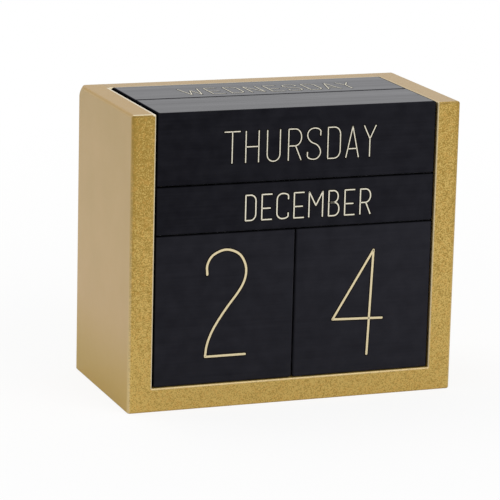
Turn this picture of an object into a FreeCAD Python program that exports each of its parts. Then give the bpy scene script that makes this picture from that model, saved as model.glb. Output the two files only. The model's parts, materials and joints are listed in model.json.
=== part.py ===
"""Perpetual desk calendar: a wooden case, open at its front and top, around seven loose blocks.

Origin at the centre of the case's underside, +X to the right of somebody who reads it, +Y to the
rear and +Z up, in millimetres. The case is laid out around its blocks: two number blocks stand
side by side on the floor board, three square month bars lie on them one behind the other, and two
square day bars lie on those.
"""
import FreeCAD, Part
import os
import Sketcher
from FreeCAD import Placement, Rotation, Vector

DOC = FreeCAD.newDocument("DeskCalendar")

# Driving sizes. Each is set once here and everything else follows from them.
SIZES = {
    # Number blocks, square in plan
    "number_block_width": 49.4,
    "number_block_height": 51.6,
    # Boards of the case
    "side_thickness": 8.4,
    "floor_thickness": 8.25,
    "back_thickness": 8.4,
    # Clearances that let the blocks slide and lift out by hand
    "wall_gap": 0.5,
    "block_gap": 0.6,
    "floor_gap": 0.2,
    "stack_gap": 0.2,
    "row_gap": 0.2,
    "back_gap": 0.6,
    # How far the blocks' faces lie behind the case's front, and the day bars above its top
    "face_recess": 0.4,
    "top_proud": 0.3,
    # Sanded edges
    "outer_round": 1.2,
    "mouth_round": 0.5,
    "foot_round": 0.6,
    "block_round": 0.7,
    # T-headed brads of flat wire with a chisel point, in the glued joints, sunk and filled over
    "brad_wire_width": 1.25,
    "brad_wire_thickness": 1.0,
    "brad_length": 18.0,
    "brad_head_width": 2.0,
    "brad_head_thickness": 0.6,
    "brad_point_length": 1.6,
    "brad_point_thickness": 0.3,
    "brad_sink": 1.2,
    "brad_clearance": 0.05,
    "brad_end_margin": 12.0,
}

MONTH_BARS = ["month_bar_front", "month_bar_middle", "month_bar_rear"]
DAY_BARS = ["day_bar_front", "day_bar_rear"]

# An edge counts as lying on a plane when it is this near, as a share of the case's height.
ON_PLANE_SHARE = 1e-6


def make_sheet():
    """Spreadsheet with one named cell for each driving size."""
    sheet = DOC.addObject("Spreadsheet::Sheet", "Sizes")
    for row, (name, value) in enumerate(SIZES.items(), start=1):
        sheet.set(f"A{row}", name)
        sheet.set(f"B{row}", str(value))
        sheet.setAlias(f"B{row}", name)
    DOC.recompute()
    return sheet


SHEET = make_sheet()


def cell(name):
    """Expression that reads one driving size."""
    return f"Sizes.{name}"


def total(*terms):
    """Expression for the sum of several."""
    return "(" + " + ".join(f"({term})" for term in terms) + ")"


def filling(width, names, gap):
    """Expression for the side of each of several bars that fill a width with gaps between them."""
    return f"(({width} - {len(names) - 1} * {gap}) / {len(names)})"


# Sizes and levels worked out from the driving ones
BLOCK_WIDTH = cell("number_block_width")
BAR_LENGTH = total(f"2 * {BLOCK_WIDTH}", cell("block_gap"))
MONTH_SIDE = filling(BLOCK_WIDTH, MONTH_BARS, cell("row_gap"))
DAY_SIDE = filling(BLOCK_WIDTH, DAY_BARS, cell("row_gap"))
INNER_WIDTH = total(BAR_LENGTH, f"2 * {cell('wall_gap')}")
INNER_DEPTH = total(cell("face_recess"), BLOCK_WIDTH, cell("back_gap"))
CASE_WIDTH = total(INNER_WIDTH, f"2 * {cell('side_thickness')}")
CASE_DEPTH = total(INNER_DEPTH, cell("back_thickness"))
NUMBER_LEVEL = total(cell("floor_thickness"), cell("floor_gap"))
MONTH_LEVEL = total(NUMBER_LEVEL, cell("number_block_height"), cell("stack_gap"))
DAY_LEVEL = total(MONTH_LEVEL, MONTH_SIDE, cell("stack_gap"))
CASE_HEIGHT = total(DAY_LEVEL, DAY_SIDE, f"-{cell('top_proud')}")
MOUTH_HEIGHT = total(CASE_HEIGHT, f"-{cell('floor_thickness')}")
CASE_FRONT = f"(-{CASE_DEPTH} / 2)"
FACE_FRONT = total(CASE_FRONT, cell("face_recess"))
BACK_FRONT = total(CASE_FRONT, INNER_DEPTH)
BACK_MIDDLE = total(BACK_FRONT, f"{cell('back_thickness')} / 2")


def number(expression):
    """Value of an expression."""
    value = SHEET.evalExpression(expression)
    return float(getattr(value, "Value", value))


def bind(feature, bindings):
    """Bind each named property of a feature to its expression."""
    for path, expression in bindings.items():
        feature.setExpression(path, expression)
    return feature


def bind_place(feature, x, y, z):
    """Bind a feature's place to three expressions."""
    return bind(feature, {"Placement.Base.x": x, "Placement.Base.y": y, "Placement.Base.z": z})


def origin_plane(body, role):
    """One of a body's own origin planes."""
    return [plane for plane in body.Origin.OriginFeatures if plane.Role == role][0]


def rectangle(body, name, role, width, height, rise=None):
    """Sketch of a rectangle on one of the body's planes.

    It is centred on the origin, or stands on a base line at rise, centred from side to side.
    """
    sketch = body.newObject("Sketcher::SketchObject", name)
    sketch.AttachmentSupport = (origin_plane(body, role), [""])
    sketch.MapMode = "FlatFace"
    half_width = number(width) / 2
    low = -number(height) / 2 if rise is None else number(rise)
    high = low + number(height)
    corners = [Vector(-half_width, low), Vector(half_width, low),
               Vector(half_width, high), Vector(-half_width, high)]
    for corner, following in zip(corners, corners[1:] + corners[:1]):
        sketch.addGeometry(Part.LineSegment(corner, following), False)
    bottom, right, top, left = sides = range(len(corners))
    start, end = 1, 2
    horizontal_axis, vertical_axis = -1, -2
    for side in sides:
        sketch.addConstraint(Sketcher.Constraint("Coincident", side, end, sides[side - left], start))
    for side, kind in [(top, "Horizontal"), (left, "Vertical")]:
        sketch.addConstraint(Sketcher.Constraint(kind, side))
    sketch.addConstraint(Sketcher.Constraint("Symmetric", bottom, start, bottom, end, vertical_axis))
    measures = {"width": (("DistanceX", bottom, start, bottom, end, 2 * half_width), width),
                "height": (("DistanceY", right, start, right, end, high - low), height)}
    if rise is None:
        sketch.addConstraint(Sketcher.Constraint("Symmetric", right, start, right, end, horizontal_axis))
    else:
        sketch.addConstraint(Sketcher.Constraint("Vertical", right))
        measures["rise"] = (("DistanceY", horizontal_axis, start, bottom, start, low), rise)
    for measure, (constraint, expression) in measures.items():
        index = sketch.addConstraint(Sketcher.Constraint(*constraint))
        sketch.renameConstraint(index, measure)
        sketch.setExpression(f"Constraints.{measure}", expression)
    return sketch


def outline(body, name, role, corners):
    """Sketch of a closed outline with straight sides, each corner placed from the body's origin."""
    sketch = body.newObject("Sketcher::SketchObject", name)
    sketch.AttachmentSupport = (origin_plane(body, role), [""])
    sketch.MapMode = "FlatFace"
    points = [Vector(number(across), number(along)) for across, along in corners]
    for point, following in zip(points, points[1:] + points[:1]):
        sketch.addGeometry(Part.LineSegment(point, following), False)
    origin, start, end = -1, 1, 2
    for side, (across, along) in enumerate(corners):
        following = (side + 1) % len(corners)
        sketch.addConstraint(Sketcher.Constraint("Coincident", side, end, following, start))
        for kind, expression in [("DistanceX", across), ("DistanceY", along)]:
            index = sketch.addConstraint(
                Sketcher.Constraint(kind, origin, start, side, start, number(expression)))
            sketch.setExpression(f"Constraints[{index}]", expression)
    return sketch


def pad(body, name, sketch, length, sides="One side"):
    """Pad a sketch by a length, to one side of its plane or to both alike."""
    feature = body.newObject("PartDesign::Pad", name)
    feature.Profile = sketch
    feature.SideType = sides
    bind(feature, {"Length": length})
    body.Tip = feature
    DOC.recompute()
    return feature


def on_plane(low, high, value):
    """Whether an edge's extent in one direction lies at one value."""
    near = ON_PLANE_SHARE * number(CASE_HEIGHT)
    return abs(low - value) < near and abs(high - value) < near


def round_edges(body, name, radius, wanted):
    """Round over the edges of the body's last feature whose bounding boxes are wanted."""
    base = body.Tip
    names = [f"Edge{index}" for index, edge in enumerate(base.Shape.Edges, start=1)
             if wanted(edge.BoundBox)]
    if not names:
        raise RuntimeError(f"{name}: no edge to round over")
    feature = body.newObject("PartDesign::Fillet", name)
    feature.Base = (base, names)
    bind(feature, {"Radius": radius})
    body.Tip = feature
    DOC.recompute()
    return feature


# Case

def is_outer_edge(box):
    """Outer edges that are rounded most: the four uprights, and the top's two sides and rear."""
    side, rear = number(CASE_WIDTH) / 2, number(CASE_DEPTH) / 2
    at_side = on_plane(box.XMin, box.XMax, -side) or on_plane(box.XMin, box.XMax, side)
    at_front = on_plane(box.YMin, box.YMax, -rear)
    at_rear = on_plane(box.YMin, box.YMax, rear)
    at_top = on_plane(box.ZMin, box.ZMax, number(CASE_HEIGHT))
    return at_side and (at_front or at_rear) or at_top and (at_side or at_rear)


def is_foot_edge(box):
    """Edges round the underside."""
    return on_plane(box.ZMin, box.ZMax, 0)


def is_mouth_edge(box):
    """Edges round the opening, at the front and at the top, and the sides' short front ones."""
    side = number(INNER_WIDTH) / 2
    at_side = on_plane(box.XMin, box.XMax, -side) or on_plane(box.XMin, box.XMax, side)
    at_front = on_plane(box.YMin, box.YMax, number(CASE_FRONT))
    at_back = on_plane(box.YMin, box.YMax, number(BACK_FRONT))
    at_floor = on_plane(box.ZMin, box.ZMax, number(cell("floor_thickness")))
    at_top = on_plane(box.ZMin, box.ZMax, number(CASE_HEIGHT))
    return at_front and (at_side or at_floor or at_top) or at_top and (at_side or at_back)


def make_case_blank():
    """The glued-up case, sanded as one piece, from which the boards are taken."""
    body = DOC.addObject("PartDesign::Body", "case_blank")
    plan = rectangle(body, "case_plan", "XY_Plane", CASE_WIDTH, CASE_DEPTH)
    block = pad(body, "case_block", plan, CASE_HEIGHT)
    mouth = rectangle(body, "mouth_outline", "XZ_Plane", INNER_WIDTH, MOUTH_HEIGHT,
                      rise=cell("floor_thickness"))
    bind(mouth, {"AttachmentOffset.Base.z": f"-{CASE_FRONT}"})
    pocket = body.newObject("PartDesign::Pocket", "mouth_pocket")
    pocket.Profile = mouth
    bind(pocket, {"Length": INNER_DEPTH})
    body.Tip = pocket
    DOC.recompute()
    emptied = number(f"{INNER_WIDTH} * {MOUTH_HEIGHT} * {INNER_DEPTH}")
    left_over = block.Shape.Volume - pocket.Shape.Volume - emptied
    if abs(left_over) > ON_PLANE_SHARE * emptied:
        raise RuntimeError("the opening was not cut to its full size")
    round_edges(body, "outer_rounds", cell("outer_round"), is_outer_edge)
    round_edges(body, "foot_rounds", cell("foot_round"), is_foot_edge)
    round_edges(body, "mouth_rounds", cell("mouth_round"), is_mouth_edge)
    return body


def brad_place(axis, across, along):
    """Expressions for where a brad's head lies, by the face it is driven through.

    A brad through a side takes its y and z from across and along, and one through the underside
    its x and y.
    """
    outside = f"({CASE_WIDTH} / 2 - {cell('brad_sink')})"
    if axis == "left":
        return f"-{outside}", across, along
    if axis == "right":
        return outside, across, along
    return across, along, cell("brad_sink")


BRAD_TURNS = {"left": Rotation(Vector(0, 1, 0), 90),
              "right": Rotation(Vector(0, 1, 0), -90),
              "under": Rotation()}


def brad_list():
    """Where each brad goes: its name, the face it is driven through, and its head's place."""
    end = cell("brad_end_margin")
    floor_middle = f"({cell('floor_thickness')} / 2)"
    low = total(cell("floor_thickness"), end)
    high = total(CASE_HEIGHT, f"-{end}")
    front = total(CASE_FRONT, end)
    inset = f"({INNER_WIDTH} / 2 - 2 * {end})"
    places = []
    for side in ("left", "right"):
        places.append((f"{side}_floor_front", side, front, floor_middle))
        places.append((f"{side}_floor_rear", side, f"-{front}", floor_middle))
        places.append((f"{side}_back_low", side, BACK_MIDDLE, low))
        places.append((f"{side}_back_high", side, BACK_MIDDLE, high))
    places.append(("under_left", "under", f"-{inset}", BACK_MIDDLE))
    places.append(("under_right", "under", inset, BACK_MIDDLE))
    return [(name, face, brad_place(face, across, along)) for name, face, across, along in places]


def make_brad(name, clearance="0"):
    """A T-headed brad that points along +Z, or the hole for one where a clearance is given."""
    head, wire, point = [total(f"{cell(size)} / 2", clearance) for size in
                         ("brad_head_width", "brad_wire_thickness", "brad_point_thickness")]
    under_head = total(cell("brad_head_thickness"), clearance)
    tip = total(cell("brad_length"), clearance)
    shoulder = total(tip, f"-{cell('brad_point_length')}")
    right = [(head, "0"), (head, under_head), (wire, under_head), (wire, shoulder), (point, tip)]
    left = [(f"-{across}", along) for across, along in reversed(right)]
    body = DOC.addObject("PartDesign::Body", name)
    profile = outline(body, f"{name}_profile", "XZ_Plane", right + left)
    pad(body, f"{name}_solid", profile, total(cell("brad_wire_width"), f"2 * {clearance}"), "Symmetric")
    return body


def make_copies(name, pattern):
    """Copies of a brad or of its hole at each place, as one group of separate solids."""
    copies = []
    for place, face, where in brad_list():
        copy = DOC.addObject("App::Link", f"{name}_{place}")
        copy.LinkedObject = pattern
        copy.LinkTransform = False
        copy.Placement = Placement(Vector(), BRAD_TURNS[face])
        copies.append(bind_place(copy, *where))
    group = DOC.addObject("Part::Compound", name)
    group.Links = copies
    return group


def make_board(name, blank, holes, size, where):
    """One board: the share of the sanded case that lies in its box, with its brad holes."""
    box = DOC.addObject("Part::Box", f"{name}_box")
    bind(box, dict(zip(("Length", "Width", "Height"), size)))
    bind_place(box, *where)
    whole = DOC.addObject("Part::Common", f"{name}_whole")
    whole.Base = blank
    whole.Tool = box
    board = DOC.addObject("Part::Cut", name)
    board.Base = whole
    board.Tool = holes
    return board


def make_case():
    """The case's four boards and its brads."""
    blank = make_case_blank()
    brads = make_copies("case_brads", make_brad("brad"))
    holes = make_copies("brad_holes", make_brad("brad_hole", cell("brad_clearance")))
    side, floor, back = cell("side_thickness"), cell("floor_thickness"), cell("back_thickness")
    inner_left = f"(-{INNER_WIDTH} / 2)"
    side_size = (side, CASE_DEPTH, CASE_HEIGHT)
    return [
        make_board("floor_board", blank, holes, (INNER_WIDTH, CASE_DEPTH, floor),
                   (inner_left, CASE_FRONT, "0")),
        make_board("left_side_board", blank, holes, side_size,
                   (f"(-{CASE_WIDTH} / 2)", CASE_FRONT, "0")),
        make_board("right_side_board", blank, holes, side_size,
                   (f"({INNER_WIDTH} / 2)", CASE_FRONT, "0")),
        make_board("back_board", blank, holes, (INNER_WIDTH, back, MOUTH_HEIGHT),
                   (inner_left, BACK_FRONT, floor)),
        brads,
    ]


# Blocks

def make_block(name, width, depth, height, where):
    """A solid wooden block with sanded edges, placed by the middle of its underside."""
    body = DOC.addObject("PartDesign::Body", name)
    plan = rectangle(body, f"{name}_plan", "XY_Plane", width, depth)
    pad(body, f"{name}_solid", plan, height)
    round_edges(body, f"{name}_rounds", cell("block_round"), lambda box: True)
    return bind_place(body, *where)


def make_number_blocks():
    """The two number blocks, side by side on the floor board."""
    aside = f"({total(BLOCK_WIDTH, cell('block_gap'))} / 2)"
    middle = total(FACE_FRONT, f"{BLOCK_WIDTH} / 2")
    return [make_block(name, BLOCK_WIDTH, BLOCK_WIDTH, cell("number_block_height"),
                       (x, middle, NUMBER_LEVEL))
            for name, x in [("left_number_block", f"-{aside}"), ("right_number_block", aside)]]


def make_bars(names, side, level):
    """A row of square bars, the first at the front."""
    bars = []
    for order, name in enumerate(names):
        middle = total(FACE_FRONT, f"{side} / 2", f"{order} * {total(side, cell('row_gap'))}")
        bars.append(make_block(name, BAR_LENGTH, side, side, ("0", middle, level)))
    return bars


def check(features):
    """Stop on anything that failed to build."""
    for feature in DOC.Objects:
        if "Invalid" in feature.State or "Error" in feature.State:
            raise RuntimeError(f"{feature.Label} did not build: {feature.State}")
    for feature in features:
        if feature.Shape.isNull() or not feature.Shape.isValid():
            raise RuntimeError(f"{feature.Label} has no valid shape")


PIECES = make_case() + make_number_blocks()
PIECES += make_bars(MONTH_BARS, MONTH_SIDE, MONTH_LEVEL)
PIECES += make_bars(DAY_BARS, DAY_SIDE, DAY_LEVEL)
DOC.recompute()
check(PIECES)

os.makedirs("parts", exist_ok=True)
for piece in PIECES:
    piece.Shape.exportStep(os.path.join("parts", f"{piece.Label}.step"))
    bounds = piece.Shape.BoundBox
    print(f"{piece.Label}: {len(piece.Shape.Solids)} solid(s), volume {piece.Shape.Volume:.1f},"
          f" x {bounds.XMin:.2f} to {bounds.XMax:.2f}, y {bounds.YMin:.2f} to {bounds.YMax:.2f},"
          f" z {bounds.ZMin:.2f} to {bounds.ZMax:.2f}")
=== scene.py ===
"""Looks of a perpetual desk calendar: gold paint on its case, black stain and gold lettering on its blocks.

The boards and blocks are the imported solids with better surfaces, apart from the left board, which
gets a copy with one rounder corner. The lettering is built here: every numeral and letter is a set
of strokes, and every stroke is a low bead of paint swept along a path. Lengths are metres, apart
from the letters' own shapes, which are shares of their height.
"""

import json
import math

import bmesh
import bpy
import numpy as np
from mathutils import Matrix, Vector


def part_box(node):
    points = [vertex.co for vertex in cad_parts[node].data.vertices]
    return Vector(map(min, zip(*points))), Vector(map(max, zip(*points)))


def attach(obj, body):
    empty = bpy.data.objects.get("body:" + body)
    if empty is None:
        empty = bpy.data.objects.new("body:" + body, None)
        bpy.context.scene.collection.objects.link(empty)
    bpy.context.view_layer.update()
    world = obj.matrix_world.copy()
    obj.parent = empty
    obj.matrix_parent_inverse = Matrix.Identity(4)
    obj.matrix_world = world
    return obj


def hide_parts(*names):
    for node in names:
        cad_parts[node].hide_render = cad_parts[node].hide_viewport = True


bl_info = {
    "name": "Perpetual desk calendar",
    "version": (1, 0, 0),
    "blender": (4, 5, 0),
    "location": "3D View > Sidebar > Calendar",
    "description": "Finishes and lettering of a wooden block calendar, and a stage for it",
    "category": "Object",
}

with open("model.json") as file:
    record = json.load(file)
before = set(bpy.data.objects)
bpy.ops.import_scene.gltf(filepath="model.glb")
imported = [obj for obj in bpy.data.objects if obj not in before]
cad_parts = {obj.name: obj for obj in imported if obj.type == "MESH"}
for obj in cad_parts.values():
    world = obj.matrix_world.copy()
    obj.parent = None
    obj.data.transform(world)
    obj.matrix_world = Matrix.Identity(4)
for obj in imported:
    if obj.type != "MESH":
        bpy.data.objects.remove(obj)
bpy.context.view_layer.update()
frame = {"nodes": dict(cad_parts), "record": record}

MM = 0.001
BOARDS = ("floor_board", "left_side_board", "right_side_board", "back_board")
NUMBER_BLOCKS = ("left_number_block", "right_number_block")
MONTH_BARS = ("month_bar_front", "month_bar_middle", "month_bar_rear")
DAY_BARS = ("day_bar_front", "day_bar_rear")
BODY_OF = {node: body for body, nodes in frame["record"]["behaviour"]["bodies"].items() for node in nodes}


# Settings that a user would change

class CasePaint(bpy.types.PropertyGroup):
    """Gold paint on the boards of the case."""

    colour: bpy.props.FloatVectorProperty(
        name="Gold", description="Colour of the paint on the boards' wide faces",
        subtype="COLOR", size=3, min=0, max=1, default=(0.456, 0.305, 0.095))
    # Painted light: a lighter gold that the wide faces take lower down, standing in for the light that falls
    # there
    painted_light_gold: bpy.props.FloatVectorProperty(
        name="Polished gold",
        description="Colour of the wide faces lower down, where hands have polished them",
        subtype="COLOR", size=3, min=0, max=1, default=(0.550, 0.366, 0.146))
    # Painted shade: a deeper, darker gold for the wide faces near the floor, where they reflect less light
    painted_shade_foot_colour: bpy.props.FloatVectorProperty(
        name="Gold at the foot",
        description="Colour of the wide faces near the floor, where the paint is thickest",
        subtype="COLOR", size=3, min=0, max=1, default=(0.485, 0.316, 0.042))
    # Painted shade: a darker gold for the top edges than for the wide faces
    painted_shade_top_colour: bpy.props.FloatVectorProperty(
        name="Gold on top", description="Colour of the top edges, which light and dust have dulled",
        subtype="COLOR", size=3, min=0, max=1, default=(0.385, 0.245, 0.078))
    # Painted shade: the left board's top edge is given a darker, warmer gold than the others'
    painted_shade_left_top_colour: bpy.props.FloatVectorProperty(
        name="Gold on top left", description="Colour of the left board's top edge, which is warmer",
        subtype="COLOR", size=3, min=0, max=1, default=(0.380, 0.222, 0.034))
    edge_dark: bpy.props.FloatVectorProperty(
        name="Edge dark", description="Darker grains of the paint on the boards' cut edges",
        subtype="COLOR", size=3, min=0, max=1, default=(0.315, 0.193, 0.020))
    edge_light: bpy.props.FloatVectorProperty(
        name="Edge light", description="Brighter grains of the paint on the boards' cut edges",
        subtype="COLOR", size=3, min=0, max=1, default=(0.60, 0.415, 0.112))
    edge_warm: bpy.props.FloatVectorProperty(
        name="Edge warm", description="Larger warm grains among the others on the boards' cut edges",
        subtype="COLOR", size=3, min=0, max=1, default=(0.60, 0.33, 0.065))
    # Painted shade: a dark colour for the round under the boards' top front edge
    painted_crease_shade: bpy.props.FloatVectorProperty(
        name="Crease", description="Colour of the crease under the boards' top front edge",
        subtype="COLOR", size=3, min=0, max=1, default=(0.17, 0.10, 0.01))
    joint: bpy.props.FloatVectorProperty(
        name="Joint", description="Colour of the faint lines where the boards are glued together",
        subtype="COLOR", size=3, min=0, max=1, default=(0.16, 0.11, 0.04))
    grain_size: bpy.props.FloatProperty(
        name="Grain size", description="Size of the grains that show on the cut edges",
        subtype="DISTANCE", unit="LENGTH", min=0.0001, max=0.005, default=0.00029)
    # Painted highlight: the pale colour of the light lines along the boards' edges
    painted_edge_highlight: bpy.props.FloatVectorProperty(
        name="Rubbed",
        description="Colour of the paint where hands and blocks have rubbed the boards' edges",
        subtype="COLOR", size=3, min=0, max=1, default=(0.78, 0.69, 0.48))
    # Painted highlight: a pale colour for the light line along the left board's inner top edge
    painted_brink_highlight: bpy.props.FloatVectorProperty(
        name="Rubbed through", description="Colour of the pale ground under the paint",
        subtype="COLOR", size=3, min=0, max=1, default=(0.80, 0.74, 0.60))
    roughness: bpy.props.FloatProperty(
        name="Roughness", description="Roughness of the paint", subtype="FACTOR", min=0, max=1, default=0.42)


class SandedCorner(bpy.types.PropertyGroup):
    """The case's rear left top corner, which is sanded rounder than the others."""

    reach: bpy.props.FloatVectorProperty(
        name="Reach", description="How far the sanding reaches in from the left, the rear and the top",
        subtype="XYZ_LENGTH", unit="LENGTH", size=3, min=0.0013, max=0.008, default=(0.0028, 0.0050, 0.0050))
    edge_round: bpy.props.FloatProperty(
        name="Edge round", description="Radius of the rounds that the case's outer edges have everywhere",
        subtype="DISTANCE", unit="LENGTH", min=0, max=0.002, default=0.0012)


class BlockStain(bpy.types.PropertyGroup):
    """Black stain on the blocks."""

    colour: bpy.props.FloatVectorProperty(
        name="Stain", description="Colour of the stained wood",
        subtype="COLOR", size=3, min=0, max=1, default=(0.0090, 0.0090, 0.0118))
    raised_colour: bpy.props.FloatVectorProperty(
        name="Raised grain", description="Colour of the raised grain, where the stain is thinnest",
        subtype="COLOR", size=3, min=0, max=1, default=(0.0300, 0.0300, 0.0375))
    grain_size: bpy.props.FloatProperty(
        name="Grain width", description="Width of the fine grain lines across the wood",
        subtype="DISTANCE", unit="LENGTH", min=0.0001, max=0.01, default=0.0007)
    roughness: bpy.props.FloatProperty(
        name="Roughness", description="Roughness of the stain", subtype="FACTOR", min=0, max=1, default=0.36)
    shine: bpy.props.FloatProperty(
        name="Shine", description="How strongly the stain shines where it is seen very flatly",
        subtype="FACTOR", min=0, max=1, default=0.625)


class Lettering(bpy.types.PropertyGroup):
    """Gold lettering on the blocks."""

    numeral_colour: bpy.props.FloatVectorProperty(
        name="Numeral gold", description="Colour of a numeral's stroke along its middle",
        subtype="COLOR", size=3, min=0, max=1, default=(0.80, 0.68, 0.43))
    letter_colour: bpy.props.FloatVectorProperty(
        name="Letter gold", description="Colour of a letter's stroke along its middle",
        subtype="COLOR", size=3, min=0, max=1, default=(0.85, 0.80, 0.65))
    burnt: bpy.props.FloatVectorProperty(
        name="Burnt rim", description="Colour of the wood on either side of a stroke, burnt when it was cut",
        subtype="COLOR", size=3, min=0, max=1, default=(0.0040, 0.0024, 0.0008))
    rim: bpy.props.FloatProperty(
        name="Rim width", description="Width of the burnt rim on either side of a stroke",
        subtype="DISTANCE", unit="LENGTH", min=0, max=0.001, default=0.00030)
    numeral_height: bpy.props.FloatProperty(
        name="Numeral height", description="Height of the large numerals, between their strokes' middles",
        subtype="DISTANCE", unit="LENGTH", min=0.01, max=0.045, default=0.0365)
    numeral_stroke: bpy.props.FloatProperty(
        name="Numeral stroke", description="Width of a numeral's stroke",
        subtype="DISTANCE", unit="LENGTH", min=0.0003, max=0.004, default=0.00083)
    month_height: bpy.props.FloatProperty(
        name="Month height", description="Height of the months' letters",
        subtype="DISTANCE", unit="LENGTH", min=0.004, max=0.014, default=0.0086)
    month_shift: bpy.props.FloatProperty(
        name="Month shift", description="How far right of the bar's middle the months stand",
        subtype="DISTANCE", unit="LENGTH", min=-0.02, max=0.02, default=0.0042)
    day_shift: bpy.props.FloatProperty(
        name="Day shift", description="How far right of the bar's middle the weekdays stand",
        subtype="DISTANCE", unit="LENGTH", min=-0.02, max=0.02, default=0.0008)
    day_height: bpy.props.FloatProperty(
        name="Day height", description="Height of the weekdays' letters",
        subtype="DISTANCE", unit="LENGTH", min=0.004, max=0.02, default=0.0106)
    month_stroke: bpy.props.FloatProperty(
        name="Month stroke", description="Width of a stroke in the months' letters",
        subtype="DISTANCE", unit="LENGTH", min=0.0003, max=0.003, default=0.00046)
    day_stroke: bpy.props.FloatProperty(
        name="Day stroke", description="Width of a stroke in the weekdays' letters",
        subtype="DISTANCE", unit="LENGTH", min=0.0003, max=0.003, default=0.00038)
    relief: bpy.props.FloatProperty(
        name="Relief", description="How far a stroke stands out of the wood",
        subtype="DISTANCE", unit="LENGTH", min=0.00001, max=0.0002, default=0.00006)


class Stage(bpy.types.PropertyGroup):
    """Light and floor round the calendar."""

    floor_colour: bpy.props.FloatVectorProperty(
        name="Floor", description="Colour of the floor",
        subtype="COLOR", size=3, min=0, max=1, default=(0.93, 0.93, 0.93))
    floor_radius: bpy.props.FloatProperty(
        name="Floor radius", description="Radius of the round floor",
        subtype="DISTANCE", unit="LENGTH", min=0.5, max=20, default=4.0)
    sky: bpy.props.FloatProperty(
        name="Sky", description="Strength of the light that comes from all round", min=0, max=2, default=0.62)
    key: bpy.props.FloatProperty(
        name="Key lamp", description="Power of the large soft lamp in front",
        subtype="POWER", unit="POWER", min=0, max=200, default=11.0)
    fill: bpy.props.FloatProperty(
        name="Top lamp", description="Power of the large soft lamp overhead",
        subtype="POWER", unit="POWER", min=0, max=200, default=4.5)


SETTINGS = {
    "calendar_case": CasePaint,
    "calendar_corner": SandedCorner,
    "calendar_stain": BlockStain,
    "calendar_lettering": Lettering,
    "calendar_stage": Stage,
}


# Shader maths

class Wire:
    """A number or colour in a shader; an expression on numbers adds the Math nodes that it needs."""

    def __init__(self, shader, socket):
        self.shader = shader
        self.socket = socket

    def math(self, operation, *others):
        """The result of a Math node on this number and others."""
        inputs = dict(enumerate((self, *others)))
        return self.shader.node("ShaderNodeMath", {"operation": operation}, inputs)

    def reversed_math(self, operation, other):
        """The result of a Math node with this number second."""
        return self.shader.node("ShaderNodeMath", {"operation": operation}, {0: other, 1: self})

    def __add__(self, other):
        return self.math("ADD", other)

    def __radd__(self, other):
        return self.math("ADD", other)

    def __sub__(self, other):
        return self.math("SUBTRACT", other)

    def __rsub__(self, other):
        return self.reversed_math("SUBTRACT", other)

    def __mul__(self, other):
        return self.math("MULTIPLY", other)

    def __rmul__(self, other):
        return self.math("MULTIPLY", other)

    def __truediv__(self, other):
        return self.math("DIVIDE", other)

    def __abs__(self):
        return self.math("ABSOLUTE")

    def above(self, start, end):
        """0 below start, 1 above end, and a smooth rise between them."""
        return self.shader.node(
            "ShaderNodeMapRange", {"interpolation_type": "SMOOTHSTEP"},
            {"Value": self, "From Min": start, "From Max": end, "To Min": 0.0, "To Max": 1.0})

    def near(self, value, half_width):
        """1 at a value, falling smoothly to 0 at half_width from it."""
        return 1 - abs(self - value).above(0.3 * half_width, half_width)

    def greater(self, other):
        """The larger of two numbers."""
        return self.math("MAXIMUM", other)


class Shader:
    """The nodes of one material."""

    def __init__(self, name):
        self.material = bpy.data.materials.new(name)
        self.material.use_nodes = True
        self.tree = self.material.node_tree
        self.tree.nodes.clear()

    def node(self, kind, settings=None, inputs=None, output=0):
        """A node of any kind, its settings set first, then the values or links of its sockets."""
        node = self.tree.nodes.new(kind)
        for name, value in (settings or {}).items():
            if name == "stops":
                for element, (place, colour) in zip(self.ramp_elements(node, len(value)), value):
                    element.position = place
                    element.color = colour
            else:
                setattr(node, name, value)
        for name, value in (inputs or {}).items():
            if isinstance(value, Wire):
                self.tree.links.new(value.socket, node.inputs[name])
            else:
                node.inputs[name].default_value = value
        return Wire(self, node.outputs[output])

    def ramp_elements(self, node, count):
        """As many elements of a colour ramp as it needs."""
        elements = node.color_ramp.elements
        while len(elements) < count:
            elements.new(1.0)
        return elements

    def place(self):
        """The point on the object: its vector, and its x, y and z."""
        point = self.node("ShaderNodeTexCoord", output="Object")
        return point, *(self.node("ShaderNodeSeparateXYZ", inputs={0: point}, output=axis) for axis in "XYZ")

    def stretched(self, point, scale):
        """The point with each direction scaled."""
        return self.node("ShaderNodeMapping", inputs={"Vector": point, "Scale": scale})

    def noise(self, point, size, detail=2.0, roughness=0.5):
        """Soft noise with bumps of a size."""
        return self.node("ShaderNodeTexNoise", inputs={
            "Vector": point, "Scale": 1 / size, "Detail": detail, "Roughness": roughness})

    def cells(self, point, size):
        """A random grey for each small cell of a size."""
        colour = self.node(
            "ShaderNodeTexVoronoi", inputs={"Vector": point, "Scale": 1 / size}, output="Color")
        return self.node("ShaderNodeSeparateXYZ", inputs={0: colour}, output="X")

    def blend(self, share, first, second):
        """First colour where share is 0, second where it is 1."""
        first, second = (value if isinstance(value, Wire) else (*value, 1.0) for value in (first, second))
        return self.node("ShaderNodeMix", {"data_type": "RGBA"}, {0: share, 6: first, 7: second}, output=2)

    def bump(self, height, distance, strength=1.0, normal=None):
        """A normal bent by a height."""
        inputs = {"Height": height, "Distance": distance, "Strength": strength}
        if normal is not None:
            inputs["Normal"] = normal
        return self.node("ShaderNodeBump", inputs=inputs)

    def finish(self, surface):
        """The finished material."""
        output = self.tree.nodes.new("ShaderNodeOutputMaterial")
        self.tree.links.new(surface.socket, output.inputs["Surface"])
        return self.material


def case_box():
    """Lowest and highest corner of the case."""
    corners = [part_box(node) for node in BOARDS]
    low = Vector(map(min, *(corner[0] for corner in corners)))
    high = Vector(map(max, *(corner[1] for corner in corners)))
    return low, high


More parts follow.
